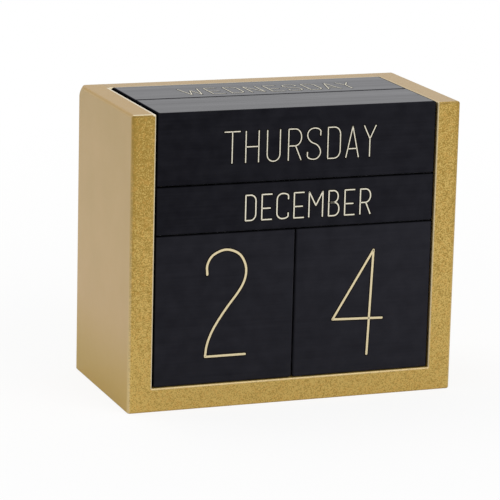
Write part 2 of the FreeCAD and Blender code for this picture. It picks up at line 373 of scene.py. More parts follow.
def gold_paint(settings):
    """Metallic gold paint: smooth on the boards' wide faces and grainy on their cut edges.

    The front and top edges are told from the wide faces by their place. Grains are random greys in
    small cells mixed with soft noise, with larger warm ones among them. Painted light makes them
    brighter towards the foot, most of all on the left, and they are darker along the outer margins
    higher up. The wide faces are lighter lower down, painted light under a random drift, and a
    deeper gold at the foot, painted shade. The top edges are a darker gold, painted shade, the left
    board's darker and warmer still. Painted highlights run along the edges round the opening and the
    top front edge, more so on the left, and along the outer front corners near the foot; painted
    shade makes a dark crease under the top front edge. Beside the opening a pale painted highlight
    runs along the left board's top. Faint dark lines mark the joints between the boards.
    """
    low, high = case_box()
    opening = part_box("back_board")[1].x
    back_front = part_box("back_board")[0].y
    floor_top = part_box("floor_board")[1].z
    shader = Shader("gold paint")
    point, x, y, z = shader.place()
    aside = abs(x)
    front = 1 - y.above(low.y + 0.3 * MM, low.y + 0.8 * MM)
    top = z.above(high.z - 0.8 * MM, high.z - 0.3 * MM)
    between = 1 - aside.above(opening, opening + 0.4 * MM)
    speckle = 0.8 * shader.cells(point, settings.grain_size) + 0.2 * shader.noise(
        point, settings.grain_size, detail=2.0, roughness=0.6)
    blotch = shader.noise(point, 9 * MM, detail=3.0)
    height = z / high.z
    margin = aside.above(high.x - 2.2 * MM, high.x - 1.0 * MM) * height.above(0.05, 0.75)
    # painted light makes the grains brighter towards the foot, most of all on the left; they are also darker
    # along the outer margins higher up
    grain_lightness_with_painted_light = speckle + 0.15 * (blotch - 0.5) + (0.40 - 2.5 * x) * (0.5 - height) + 0.8 * x - 0.16 * margin
    grains = shader.blend(grain_lightness_with_painted_light.above(0.18, 0.82), settings.edge_dark, settings.edge_light)
    warm = shader.cells(point, 2.6 * settings.grain_size).above(0.55, 0.95)
    grains = shader.blend(0.30 * warm, grains, settings.edge_warm)
    drift = shader.noise(point, 22 * MM, detail=2.0)
    # painted light: the wide faces turn lighter lower down, under a random drift
    painted_light_share = (0.625 + 0.5 * drift - 0.5 * height).above(0.2, 0.9)
    face = shader.blend(painted_light_share, settings.colour, settings.painted_light_gold)
    # painted shade: a deeper gold at the foot of the wide faces
    face = shader.blend(height.above(0.0, 0.34), settings.painted_shade_foot_colour, face)
    right_of_left_board = x.above(-opening - 0.2 * MM, -opening + 0.2 * MM)
    # painted shade: the top edges are a darker gold, the left board's darker and warmer still
    painted_shade_top_colour = shader.blend(right_of_left_board, settings.painted_shade_left_top_colour, settings.painted_shade_top_colour)
    face = shader.blend(top, face, painted_shade_top_colour)
    cut_edge = front.greater(0.12 * top)
    painted = shader.blend(cut_edge, face, grains)
    beside = aside.near(opening + 0.16 * MM, 0.40 * MM) * z.above(floor_top - 0.5 * MM, floor_top)
    sill = z.near(floor_top - 0.3 * MM, 0.45 * MM) * between
    lip = y.near(back_front + 0.3 * MM, 0.45 * MM) * between
    beside_mouth = top * (1 - y.above(back_front - 0.1 * MM, back_front + 0.3 * MM))
    # painted highlight: a pale line along the left board's top beside the opening
    brink = beside_mouth * x.near(-opening - 0.70 * MM, 0.5 * MM)
    # painted highlights along the edges round the opening, more on the left
    painted_edge_highlight = (front * (beside * (0.72 - 4.0 * x)).greater(0.35 * sill)).greater(
        (beside_mouth * beside * (0.65 - 5.0 * x)).greater(top * lip))
    corner = aside.above(high.x - 1.0 * MM, high.x - 0.4 * MM) * (
        1 - y.above(low.y + 0.7 * MM, low.y + 1.5 * MM))
    # painted highlight along the top front edge, strongest on the left
    painted_highlight_crest = z.above(high.z - 0.22 * MM, high.z - 0.10 * MM) * (
        1 - y.above(low.y + 0.8 * MM, low.y + 1.5 * MM)) * (0.5 - 8.0 * x)
    # painted shade: a dark crease along the round under the top front edge
    painted_crease_shade = front * z.near(high.z - 0.42 * MM, 0.46 * MM)
    # painted highlights: round the opening, on the outer front corners near the foot and along the top front
    # edge
    painted_highlights = painted_edge_highlight.greater(0.35 * corner * (1 - height)).greater(0.75 * painted_highlight_crest)
    painted = shader.blend(0.5 * painted_crease_shade, painted, settings.painted_crease_shade)
    painted = shader.blend(painted_highlights, painted, settings.painted_edge_highlight)
    painted = shader.blend(0.8 * brink, painted, settings.painted_brink_highlight)
    seam = aside.near(opening, 0.22 * MM) * y.above(back_front - 0.3 * MM, back_front + 0.1 * MM)
    foot_seam = z.near(floor_top, 0.22 * MM) * y.above(high.y - 0.5 * MM, high.y - 0.1 * MM)
    line = seam.greater(foot_seam)
    painted = shader.blend(0.45 * line, painted, settings.joint)
    ripple = shader.noise(point, 3.5 * MM, detail=2.0)
    relief = 0.05 * ripple + cut_edge * (0.25 * speckle) - 0.6 * line
    normal = shader.bump(relief, 0.10 * MM, 0.8)
    roughness = settings.roughness + 0.10 * cut_edge + 0.05 * (ripple - 0.5)
    return shader.finish(shader.node("ShaderNodeBsdfPrincipled", inputs={
        "Base Color": painted, "Metallic": 0.55, "Roughness": roughness, "Normal": normal,
        "Coat Weight": 0.25, "Coat Roughness": 0.35, "Coat IOR": 1.5}))


def black_stain(settings, stain_lightness):
    """Black stained wood: fine grain along x, which shows as dots on the ends, under a soft cloud.

    Grain is noise on a point whose x is shrunk, so that its bumps become long lines. The satin
    surface shines more the flatter it is seen, by the fifth power of one less the cosine of the
    angle between the view and the surface's normal; the sawn ends don't shine. Painted shade darkens
    the sawn ends, most near their front and top edges, and the front edges where two rows meet. Each
    kind of piece has its own lightness of stain, and painted light makes the stain a little lighter
    towards the reader's right.
    """
    shader = Shader("black stain")
    point, x, y, z = shader.place()
    sawn_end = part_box("day_bar_front")[1].x
    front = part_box("month_bar_front")[0].y
    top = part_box("day_bar_front")[1].z
    number_top, month_top = (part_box(node)[1].z for node in ("left_number_block", "month_bar_front"))
    along = shader.stretched(point, (0.035, 1.0, 1.0))
    fine = shader.noise(along, settings.grain_size, detail=3.0, roughness=0.6)
    broad = shader.noise(along, 5 * settings.grain_size, detail=2.0)
    cloud = shader.noise(point, 5 * MM, detail=3.0)
    grain = 0.65 * fine + 0.35 * broad
    # painted light: the stain grows a little lighter towards the reader's right; each kind of piece has its
    # own lightness
    share = 0.42 * (grain - 0.5) + 0.50 * (cloud - 0.5) + stain_lightness + 2.2 * x
    colour = shader.blend(share, settings.colour, settings.raised_colour)
    # painted shade: the sawn ends are blackened, most near their front and top edges, and so are the front
    # edges where two rows meet
    end = abs(x).above(sawn_end - 0.45 * MM, sawn_end - 0.15 * MM)
    arris = (1 - y.above(front + 0.6 * MM, front + 1.0 * MM)) * z.near(number_top, 0.45 * MM).greater(
        z.near(month_top, 0.45 * MM))
    brim = (1 - y.above(front + 1.5 * MM, front + 3.5 * MM)).greater(
        z.above(top - 2.8 * MM, top - 1.2 * MM))
    painted_gap_shade = (end * (0.30 + 0.50 * brim)).greater(0.85 * arris)
    colour = shader.blend(painted_gap_shade, colour, (0.0, 0.0, 0.0))
    normal = shader.bump(grain + 0.3 * cloud, 0.05 * MM, 0.40)
    roughness = settings.roughness + 0.12 * (fine - 0.5) + 0.08 * (cloud - 0.5)
    matt = shader.node("ShaderNodeBsdfPrincipled", inputs={
        "Base Color": colour, "Roughness": roughness, "Normal": normal, "Specular IOR Level": 0.0})
    satin = shader.node("ShaderNodeBsdfPrincipled", inputs={
        "Base Color": (0.90, 0.90, 0.92, 1.0), "Metallic": 1.0, "Roughness": roughness, "Normal": normal})
    flatness = shader.node("ShaderNodeLayerWeight", inputs={"Blend": 0.5, "Normal": normal}, output="Facing")
    dull = abs(x).above(sawn_end - 1.1 * MM, sawn_end - 0.6 * MM)
    shine = settings.shine * (0.75 + 0.5 * broad) * flatness.math("POWER", 5.0) * (1 - dull)
    return shader.finish(shader.node("ShaderNodeMixShader", inputs={0: shine, 1: matt, 2: satin}))


def drawn_steel():
    """Drawn steel wire: two greys in fine lines along x, of which the brighter are rougher.

    The lines are noise on a point whose x is shrunk.
    """
    shader = Shader("drawn steel")
    point, _, _, _ = shader.place()
    lines = shader.noise(shader.stretched(point, (0.05, 1.0, 1.0)), 0.1 * MM, detail=2.0)
    dark_grey, bright_grey = (0.42, 0.42, 0.43), (0.60, 0.60, 0.61)
    colour = shader.blend(lines, dark_grey, bright_grey)
    return shader.finish(shader.node("ShaderNodeBsdfPrincipled", inputs={
        "Base Color": colour, "Metallic": 1.0, "Roughness": 0.28 + 0.15 * lines}))


def gold_line(settings, colour, stroke):
    """Gold lettering: a gold line between two burnt rims, slightly uneven.

    The gold reaches from a stroke's middle line to the share of the half width that the rims leave.
    """
    shader = Shader("gold line")
    point, _, _, _ = shader.place()
    across = shader.node("ShaderNodeAttribute", {"attribute_name": "across"}, output="Fac")
    uneven = shader.noise(point, 0.5 * MM, detail=2.0)
    gold_share = stroke / (stroke + 2 * settings.rim)
    rim = (across + 0.15 * (uneven - 0.5)).above(0.80 * gold_share, 1.02 * gold_share)
    shade = [0.88 * part for part in colour]
    painted = shader.blend(rim, shader.blend(uneven, colour, shade), settings.burnt)
    normal = shader.bump(uneven, 0.02 * MM, 0.5)
    return shader.finish(shader.node("ShaderNodeBsdfPrincipled", inputs={
        "Base Color": painted, "Metallic": 0.15, "Roughness": 0.42 + 0.15 * (uneven - 0.5), "Normal": normal,
        "Specular IOR Level": 0.05}))


# Strokes, in shares of a letter's height

ROUND_WEIGHT = 0.71


def rounded(points, radius, steps=7):
    """Path through corners with each inner corner turned into a curve.

    Formula: at each corner, from a point one radius before it to one radius after it (at most half
    of either side), a rational quadratic curve with the corner as its middle control point. Its
    weight makes it close to a round corner where the sides meet squarely.
    """
    points = np.array(points, float)
    pieces = [points[:1]]
    t = np.linspace(0, 1, steps)[:, None]
    for before, corner, after in zip(points[:-2], points[1:-1], points[2:]):
        arrive, leave = before - corner, after - corner
        reach_in = min(radius / np.linalg.norm(arrive), 0.5)
        reach_out = min(radius / np.linalg.norm(leave), 0.5)
        start, end = corner + reach_in * arrive, corner + reach_out * leave
        weight = 2 * t * (1 - t) * ROUND_WEIGHT
        total = (1 - t) ** 2 + weight + t ** 2
        pieces.append(((1 - t) ** 2 * start + weight * corner + t ** 2 * end) / total)
    pieces.append(points[-1:])
    return np.vstack(pieces)


def smooth(points, steps=8):
    """Smooth path through points, a Catmull-Rom spline: between two points it is the cubic whose
    slope at each of them is half the step from the one before it to the one after it."""
    points = np.array(points, float)
    wrapped = np.vstack([2 * points[0] - points[1], points, 2 * points[-1] - points[-2]])
    p0, p1, p2, p3 = (wrapped[start:len(wrapped) - 3 + start, None] for start in range(4))
    t = np.linspace(0, 1, steps, endpoint=False)[None, :, None]
    cubic = 0.5 * (2 * p1 + (p2 - p0) * t + (2 * p0 - 5 * p1 + 4 * p2 - p3) * t ** 2
                   + (3 * p1 - p0 - 3 * p2 + p3) * t ** 3)
    return np.vstack([cubic.reshape(-1, 2), points[-1:]])


def line(*points):
    """Straight path through points."""
    return np.array(points, float)


def ring(width, radius):
    """Closed path, as tall as the letter, with straight sides and round ends."""
    middle = width / 2
    corners = [(middle, 1), (0, 1), (0, 0), (width, 0), (width, 1), (middle, 1)]
    return rounded(corners, radius)


def glyphs():
    """Strokes of each letter and numeral, with its width and the free space at its left and right.

    Every shape is one height tall, from 0 to 1, and starts at x = 0.
    """
    straight, open_side, bowl, slant, arm = 0.142, 0.100, 0.105, 0.090, 0.050
    w, e, m = 0.43, 0.41, 0.57
    stem = line((0, 0), (0, 1))
    bowl_r = rounded([(0, 1), (w, 1), (w, 0.46), (0, 0.46)], 0.26)
    return {
        "A": (w, slant, slant, [line((0, 0), (w / 2, 1)), line((w / 2, 1), (w, 0)),
                                line((0.14 * w, 0.28), (0.86 * w, 0.28))]),
        "B": (w, straight, bowl, [stem, rounded([(0, 1), (0.90 * w, 1), (0.90 * w, 0.53), (0, 0.53)], 0.22),
                                  rounded([(0, 0.53), (w, 0.53), (w, 0), (0, 0)], 0.24)]),
        "C": (0.47, 0.115, open_side, [rounded(
            [(0.47, 0.77), (0.47, 1), (0, 1), (0, 0), (0.47, 0), (0.47, 0.22)], 0.23)]),
        "D": (0.42, 0.147, 0.11, [stem, rounded([(0, 1), (0.42, 1), (0.42, 0), (0, 0)], 0.24)]),
        "E": (e, straight, open_side, [stem, line((0, 1), (e, 1)), line((0, 0.45), (0.86 * e, 0.45)),
                                       line((0, 0), (e, 0))]),
        "F": (e, straight, arm, [stem, line((0, 1), (e, 1)), line((0, 0.48), (0.86 * e, 0.48))]),
        "G": (w, bowl, bowl, [rounded([(w, 0.77), (w, 1), (0, 1), (0, 0), (w, 0), (w, 0.45)], 0.22),
                              line((w, 0.45), (0.55 * w, 0.45))]),
        "H": (w, straight, straight, [stem, line((w, 0), (w, 1)), line((0, 0.5), (w, 0.5))]),
        "I": (0.0, straight, straight, [stem]),
        "J": (0.9 * e, arm, straight, [rounded([(0.9 * e, 1), (0.9 * e, 0), (0, 0), (0, 0.22)], 0.20)]),
        "L": (e, straight, arm, [stem, line((0, 0), (e, 0))]),
        "M": (m, 0.115, 0.115, [stem, line((m, 0), (m, 1)), line((0, 1), (m / 2, 0.45)),
                                line((m / 2, 0.45), (m, 1))]),
        "N": (w, straight, straight, [stem, line((w, 0), (w, 1)), line((0, 1), (w, 0))]),
        "O": (w, bowl, bowl, [ring(w, 0.22)]),
        "P": (w, straight, arm, [stem, bowl_r]),
        "R": (w, straight, open_side, [stem, bowl_r, line((0.55 * w, 0.46), (w, 0))]),
        "S": (0.45, bowl, 0.10, [rounded([(0.44, 0.76), (0.45, 1), (0, 1), (0, 0.58), (0.45, 0.44),
                                          (0.45, 0), (0, 0), (0.01, 0.24)], 0.225)]),
        "T": (0.52, arm, arm, [line((0, 1), (0.52, 1)), line((0.26, 0), (0.26, 1))]),
        "U": (w, straight, straight, [rounded([(0, 1), (0, 0), (w, 0), (w, 1)], 0.22)]),
        "V": (w, slant, slant, [line((0, 1), (w / 2, 0)), line((w / 2, 0), (w, 1))]),
        "W": (0.66, slant, slant, [line((0, 1), (0.16, 0)), line((0.16, 0), (0.33, 0.72)),
                                   line((0.33, 0.72), (0.50, 0)), line((0.50, 0), (0.66, 1))]),
        "Y": (0.40, slant, slant, [line((0, 1), (0.20, 0.57)), line((0.40, 1), (0.20, 0.57)),
                                   line((0.20, 0.57), (0.20, 0))]),
        "0": (0.40, 0, 0, [ring(0.40, 0.20)]),
        "1": (0.14, 0, 0, [line((0.14, 0), (0.14, 1)), line((0.14, 1), (0, 0.86))]),
        "2": (0.385, 0, 0, [smooth([(0.006, 0.775), (0.006, 0.868), (0.060, 0.955), (0.185, 1.0),
                                    (0.310, 0.955), (0.375, 0.850), (0.378, 0.735), (0.325, 0.615),
                                    (0.185, 0.430), (0.075, 0.260), (0.018, 0.120), (0, 0)]),
                            line((0, 0), (0.390, 0))]),
        "3": (0.385, 0, 0, [smooth([(0.010, 0.820), (0.060, 0.950), (0.185, 1.0), (0.310, 0.950),
                                    (0.365, 0.800), (0.300, 0.620), (0.150, 0.555)]),
                            smooth([(0.150, 0.555), (0.320, 0.490), (0.385, 0.290), (0.325, 0.080),
                                    (0.185, 0.0), (0.050, 0.050), (0, 0.190)])]),
        "4": (0.49, 0, 0, [line((0.390, 1), (0, 0.358)), line((0, 0.358), (0.497, 0.342)),
                           line((0.390, 1), (0.354, 0))]),
        "5": (0.385, 0, 0, [line((0.350, 1), (0.050, 1)), line((0.050, 1), (0.020, 0.560)),
                            smooth([(0.020, 0.560), (0.120, 0.620), (0.250, 0.610), (0.355, 0.500),
                                    (0.385, 0.310), (0.330, 0.090), (0.190, 0.0), (0.050, 0.050),
                                    (0, 0.170)])]),
        "6": (0.385, 0, 0, [smooth([(0.290, 1.0), (0.150, 0.780), (0.040, 0.520), (0, 0.290),
                                    (0.050, 0.080), (0.190, 0.0), (0.335, 0.080), (0.385, 0.270),
                                    (0.330, 0.460), (0.190, 0.540), (0.060, 0.460), (0.005, 0.300)])]),
        "7": (0.385, 0, 0, [line((0, 1), (0.385, 1)), line((0.385, 1), (0.120, 0))]),
        "8": (0.385, 0, 0, [smooth([(0.192, 0.550), (0.060, 0.640), (0.025, 0.790), (0.085, 0.950),
                                    (0.192, 1.0), (0.300, 0.950), (0.360, 0.790), (0.325, 0.640),
                                    (0.192, 0.550), (0.040, 0.440), (0, 0.270), (0.060, 0.070),
                                    (0.192, 0.0), (0.325, 0.070), (0.385, 0.270), (0.345, 0.440),
                                    (0.192, 0.550)])]),
    }


GLYPHS = glyphs()


def strokes_of(text, height, spread=1.0):
    """Strokes of a word, centred on the origin, in metres. Each letter starts where the one before
    it ends, after the free space that the two leave beside each other."""
    strokes, cursor = [], 0.0
    for order, letter in enumerate(text):
        width, left, right, shapes = GLYPHS[letter]
        if order:
            cursor += spread * left
        strokes += [shape + (cursor, 0) for shape in shapes]
        cursor += width + spread * right
    cursor -= spread * right
    return [(stroke - (cursor / 2, 0.5)) * height for stroke in strokes]


def bead(path, width, relief, sunk, sides=10, cap_steps=4):
    """A low bead of paint swept along a flat path.

    Formula: at each point of the path stands a ring, half a width across times the cosine of an
    angle, and above the wood the relief times its sine, or below it the sunk depth times its sine.
    Beyond each end the path goes on by half a width times a sine, and the ring shrinks by its cosine,
    so that the end is round. Returns the points as (along x, along y, out of the wood), the faces and
    how far each point is from the stroke's middle line, as a share of its half width.
    """
    half = width / 2
    steps = np.diff(path, axis=0)
    length = np.linalg.norm(steps, axis=1)
    keep = np.r_[True, length > 1e-3 * half]
    path = path[keep]
    heading = np.diff(path, axis=0)
    heading /= np.linalg.norm(heading, axis=1, keepdims=True)
    tangent = np.vstack([heading[:1], heading[:-1] + heading[1:], heading[-1:]])
    tangent /= np.linalg.norm(tangent, axis=1, keepdims=True)
    turn = np.linspace(0, np.pi / 2, cap_steps, endpoint=False)[1:]
    before = path[0] - half * np.sin(turn[::-1])[:, None] * tangent[0]
    after = path[-1] + half * np.sin(turn)[:, None] * tangent[-1]
    centres = np.vstack([before, path, after])
    headings = np.vstack([
        np.repeat(tangent[:1], len(turn), 0), tangent, np.repeat(tangent[-1:], len(turn), 0)])
    size = np.r_[np.cos(turn[::-1]), np.ones(len(path)), np.cos(turn)]
    angle = np.linspace(0, 2 * np.pi, sides, endpoint=False)
    side = np.stack([-headings[:, 1], headings[:, 0]], -1)
    offset = half * np.cos(angle)
    lift = np.where(np.sin(angle) > 0, relief, sunk) * np.sin(angle)
    flat = centres[:, None] + size[:, None, None] * side[:, None] * offset[None, :, None]
    out = size[:, None] * lift[None]
    rings = np.concatenate([flat, out[..., None]], -1).reshape(-1, 3)
    poles = np.array([[*(path[0] - half * tangent[0]), 0], [*(path[-1] + half * tangent[-1]), 0]])
    beyond = np.r_[np.sin(turn[::-1]), np.zeros(len(path)), np.sin(turn)]
    across = np.r_[np.hypot(size[:, None] * np.cos(angle), beyond[:, None]).ravel(), 1.0, 1.0]
    count = len(centres)
    row, column = np.meshgrid(np.arange(count - 1), np.arange(sides), indexing="ij")
    following = (column + 1) % sides
    quads = np.stack([row * sides + column, row * sides + following,
                      (row + 1) * sides + following, (row + 1) * sides + column], -1).reshape(-1, 4)
    around = np.arange(sides)
    onward = (around + 1) % sides
    last = (count - 1) * sides
    first_fan = np.stack([np.full(sides, count * sides), onward, around], -1)
    last_fan = np.stack([np.full(sides, count * sides + 1), last + around, last + onward], -1)
    return np.vstack([rings, poles]), quads, np.vstack([first_fan, last_fan]), across


def lettered_piece(name, node, legends, width, material):
    """All the lettering on one block as one mesh, riding on the block's body.

    Each legend is its strokes, the middle of its face, the directions that read as right and up
    there, and where its middle lies from the face's.
    """
    relief = bpy.context.scene.calendar_lettering.relief
    points, faces, across, count = [], [], [], 0
    for strokes, middle, right, up, shift in legends:
        right, up = np.array(right, float), np.array(up, float)
        outward = np.cross(right, up)
        for stroke in strokes:
            flat, quads, fans, share = bead(stroke + shift, width, relief, 0.5 * relief)
            points.append(middle + flat[:, :1] * right + flat[:, 1:2] * up + flat[:, 2:] * outward)
            faces += (quads + count).tolist() + (fans + count).tolist()
            across.append(share)
            count += len(flat)
    mesh = bpy.data.meshes.new(name)
    mesh.from_pydata(np.vstack(points).tolist(), [], faces)
    mesh.attributes.new("across", "FLOAT", "POINT").data.foreach_set("value", np.concatenate(across))
    mesh.polygons.foreach_set("use_smooth", np.ones(len(mesh.polygons), bool))
    mesh.update()
    mesh.materials.append(material)
    piece = bpy.data.objects.new(name, mesh)
    bpy.context.scene.collection.objects.link(piece)
    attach(piece, BODY_OF[node])
    return piece


RIGHT, REAR, UP = (np.eye(3)[axis] for axis in range(3))


def face_of(node, outward):
    """Middle of the face of a node's box that looks in a direction."""
    low, high = (np.array(corner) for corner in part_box(node))
    return (low + high) / 2 + outward * (high - low) / 2


def bar_faces():
    """Directions that read as right and up on a bar's front, underside, rear and top, as they come to
    the front when the bar is rolled towards the reader."""
    return [(RIGHT, UP), (RIGHT, -REAR), (RIGHT, -UP), (RIGHT, REAR)]


def block_faces():
    """Directions that read as right and up on a number block's front, right, rear, left, top and
    underside."""
    return [(RIGHT, UP), (REAR, UP), (-RIGHT, UP), (-REAR, UP), (RIGHT, REAR), (RIGHT, -REAR)]


def legends_on(node, texts, faces, height, shifts):
    """Legends for the faces of one block, in order; an empty text leaves its face bare."""
    return [(strokes_of(text, height), face_of(node, np.cross(right, up)), right, up, shift)
            for text, (right, up), shift in zip(texts, faces, shifts) if text]


# Operators

def dress(nodes, material):
    """Put a material in the slots of CAD nodes."""
    for node in nodes:
        mesh = frame["nodes"][node].data
        mesh.materials.clear()
        mesh.materials.append(material)


class PaintCase(bpy.types.Operator):
    """Paint the four boards of the case gold"""

    bl_idname = "calendar.paint_case"
    bl_label = "Paint case"

    def execute(self, context):
        dress(BOARDS, gold_paint(context.scene.calendar_case))
        return {"FINISHED"}


CORNER_CUTS = 8
SHARP_ANGLE = math.radians(35)
SAME_POINT = 0.0001 * MM
ON_PLANE = 0.002 * MM


def sanded_copy(name, node, corner, inward, reach, edge_round):
    """A painted copy of a board with one corner sanded rounder than its edges are.

    Formula: the copy's points are merged, and it is cut along planes near the corner. There, a
    point's distances from the corner's three faces, as shares of the reach in each direction, are
    taken from 1. Where all three are positive and their length passes a limit, they shrink to it, so
    the cut is part of an ellipsoid. The limit is the length at the middle of the rear top edge's own
    round, so the cut runs out into the edges. The faces that this bends are made triangles.
    """
    mesh = frame["nodes"][node].data.copy()
    mesh.name = name
    board = bmesh.new()
    board.from_mesh(mesh)
    bmesh.ops.remove_doubles(board, verts=board.verts, dist=SAME_POINT)
    for normal in np.eye(3):
        for share in np.linspace(0, 1, CORNER_CUTS + 1)[1:]:
            point = corner + inward * reach * share
            bmesh.ops.bisect_plane(
                board, geom=[*board.verts, *board.edges, *board.faces],
                dist=ON_PLANE, plane_co=point, plane_no=normal)
    board.to_mesh(mesh)
    board.free()
    places = np.empty(3 * len(mesh.vertices), np.float32)
    mesh.vertices.foreach_get("co", places)
    places = places.reshape(-1, 3)
    limit = math.sqrt(2) * (1 - (1 - math.sqrt(0.5)) * edge_round / max(reach))
    left = 1 - (places - corner) * inward / reach
    length = np.linalg.norm(left, axis=1)
    sanded = (left.min(axis=1) > 0) & (length > limit)
    shrunk = left * (limit / np.maximum(length, limit))[:, None]
    places[sanded] = (corner + inward * reach * (1 - shrunk))[sanded]
    mesh.vertices.foreach_set("co", places.ravel())
    board = bmesh.new()
    board.from_mesh(mesh)
    bent = [face for face in board.faces if any(sanded[vertex.index] for vertex in face.verts)]
    bmesh.ops.triangulate(board, faces=bent)
    board.to_mesh(mesh)
    board.free()
    mesh.attributes.remove(mesh.attributes["custom_normal"])
    mesh.shade_smooth()
    mesh.set_sharp_from_angle(angle=SHARP_ANGLE)
    piece = bpy.data.objects.new(name, mesh)
    bpy.context.scene.collection.objects.link(piece)
    weighted = piece.modifiers.new("weighted normals", "WEIGHTED_NORMAL")
    weighted.keep_sharp = True
    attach(piece, BODY_OF[node])
    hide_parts(node)


class SandCorner(bpy.types.Operator):
    """Sand the case's rear left top corner rounder than its edges"""

    bl_idname = "calendar.sand_corner"
    bl_label = "Sand corner"

    def execute(self, context):
        settings = context.scene.calendar_corner
        low, high = case_box()
        sanded_copy("left_side_board_sanded", "left_side_board", np.array([low.x, high.y, high.z]),
                    np.array([1.0, -1.0, -1.0]), np.array(settings.reach), settings.edge_round)
        return {"FINISHED"}


class FinishBrads(bpy.types.Operator):
    """Give the brads in the joints their steel finish"""

    bl_idname = "calendar.finish_brads"
    bl_label = "Finish brads"

    def execute(self, context):
        dress(["case_brads"], drawn_steel())
        return {"FINISHED"}


class StainBlocks(bpy.types.Operator):
    """Stain the number blocks and bars black"""

    bl_idname = "calendar.stain_blocks"
    bl_label = "Stain blocks"

    def execute(self, context):
        # each kind of piece is given its own lightness of stain, the lowest pieces the lightest
        stain_lightness_by_kind = ((NUMBER_BLOCKS, 0.46), (MONTH_BARS, 0.22), (DAY_BARS, 0.18))
        for nodes, stain_lightness in stain_lightness_by_kind:
            dress(nodes, black_stain(context.scene.calendar_stain, stain_lightness))
        return {"FINISHED"}


class LetterNumberBlocks(bpy.types.Operator):
    """Paint a numeral on each face of the two number blocks"""

    bl_idname = "calendar.letter_number_blocks"
    bl_label = "Letter number blocks"

    def execute(self, context):
        settings = context.scene.calendar_lettering
        stroke = settings.numeral_stroke
        material = gold_line(settings, settings.numeral_colour, stroke)
        numerals = {"left_number_block": "267810", "right_number_block": "450123"}
        # the two numerals in front stand a little off the middle of their faces, as stamped ones do
        off = {"left_number_block": (0.5 * MM, 1.8 * MM), "right_number_block": (-1.85 * MM, -1.45 * MM)}
        for node in NUMBER_BLOCKS:
            shifts = [off[node]] + (len(block_faces()) - 1) * [(0.0, 0.0)]
            legends = legends_on(node, numerals[node], block_faces(), settings.numeral_height, shifts)
            lettered_piece(f"{node}_numerals", node, legends, stroke + 2 * settings.rim, material)
        return {"FINISHED"}


class LetterMonthBars(bpy.types.Operator):
    """Paint a month on each long face of the three month bars"""

    bl_idname = "calendar.letter_month_bars"
    bl_label = "Letter month bars"

    def execute(self, context):
        settings = context.scene.calendar_lettering
        stroke = settings.month_stroke
        material = gold_line(settings, settings.letter_colour, stroke)
        months = {"month_bar_front": ("DECEMBER", "SEPTEMBER", "OCTOBER", "NOVEMBER"),
                  "month_bar_middle": ("MAY", "JUNE", "JULY", "AUGUST"),
                  "month_bar_rear": ("JANUARY", "FEBRUARY", "MARCH", "APRIL")}
        shift = (settings.month_shift, -0.35 * MM)
        shifts = len(bar_faces()) * [shift]
        for node in MONTH_BARS:
            legends = legends_on(node, months[node], bar_faces(), settings.month_height, shifts)
            lettered_piece(f"{node}_names", node, legends, stroke + 2 * settings.rim, material)
        return {"FINISHED"}


class LetterDayBars(bpy.types.Operator):
    """Paint a weekday on the long faces of the two day bars, one of which stays bare"""

    bl_idname = "calendar.letter_day_bars"
    bl_label = "Letter day bars"

    def execute(self, context):
        settings = context.scene.calendar_lettering
        stroke = settings.day_stroke
        material = gold_line(settings, settings.letter_colour, stroke)
        days = {"day_bar_front": ("THURSDAY", "FRIDAY", "SATURDAY", ""),
                "day_bar_rear": ("SUNDAY", "MONDAY", "TUESDAY", "WEDNESDAY")}
        shift = (settings.day_shift, -0.28 * MM)
        # the weekday on top of the rear bar stands nearer to the reader and a little to the right
        shifts = (len(bar_faces()) - 1) * [shift] + [(settings.day_shift + 1.2 * MM, -2.3 * MM)]
        for node in DAY_BARS:
            legends = legends_on(node, days[node], bar_faces(), settings.day_height, shifts)
            lettered_piece(f"{node}_names", node, legends, stroke + 2 * settings.rim, material)
        return {"FINISHED"}


def make_floor(settings):
    """Round floor: points at a radius and an angle, the radii closer together near the middle.

    Its material is pale and catches shadows; what the camera sees of it is mostly white, and all
    white towards its rim, so that it runs into the background without a line.
    """
    rings, spokes = 23, 96
    radii = settings.floor_radius * np.linspace(0, 1, rings + 1)[1:] ** 2
    angles = np.linspace(0, 2 * np.pi, spokes, endpoint=False)
    r, a = np.meshgrid(radii, angles, indexing="ij")
    points = np.vstack([[0, 0, 0], np.stack([r * np.cos(a), r * np.sin(a), 0 * r], -1).reshape(-1, 3)])
    row, column = np.meshgrid(np.arange(len(radii) - 1), np.arange(len(angles)), indexing="ij")
    onward = (column + 1) % len(angles)
    inner, outer = 1 + row * len(angles), 1 + (row + 1) * len(angles)
    quads = np.stack([inner + column, outer + column, outer + onward, inner + onward], -1).reshape(-1, 4)
    around = np.arange(len(angles))
    fan = np.stack([0 * around, 1 + around, 1 + (around + 1) % len(angles)], -1)
    mesh = bpy.data.meshes.new("floor")
    mesh.from_pydata(points.tolist(), [], quads.tolist() + fan.tolist())
    shader = Shader("pale floor")
    point, _, _, _ = shader.place()
    distance = shader.node("ShaderNodeVectorMath", {"operation": "LENGTH"}, {0: point}, output="Value")
    seen = shader.node("ShaderNodeLightPath", output="Is Camera Ray")
    glow = seen * (0.86 + 0.14 * distance.above(0.10, 0.50))
    surface = shader.node("ShaderNodeMixShader", inputs={
        0: glow,
        1: shader.node("ShaderNodeBsdfDiffuse", inputs={"Color": (*settings.floor_colour, 1.0)}),
        2: shader.node("ShaderNodeEmission", inputs={"Color": (1, 1, 1, 1), "Strength": 1.0})})
    mesh.materials.append(shader.finish(surface))
    floor = bpy.data.objects.new("floor", mesh)
    bpy.context.scene.collection.objects.link(floor)


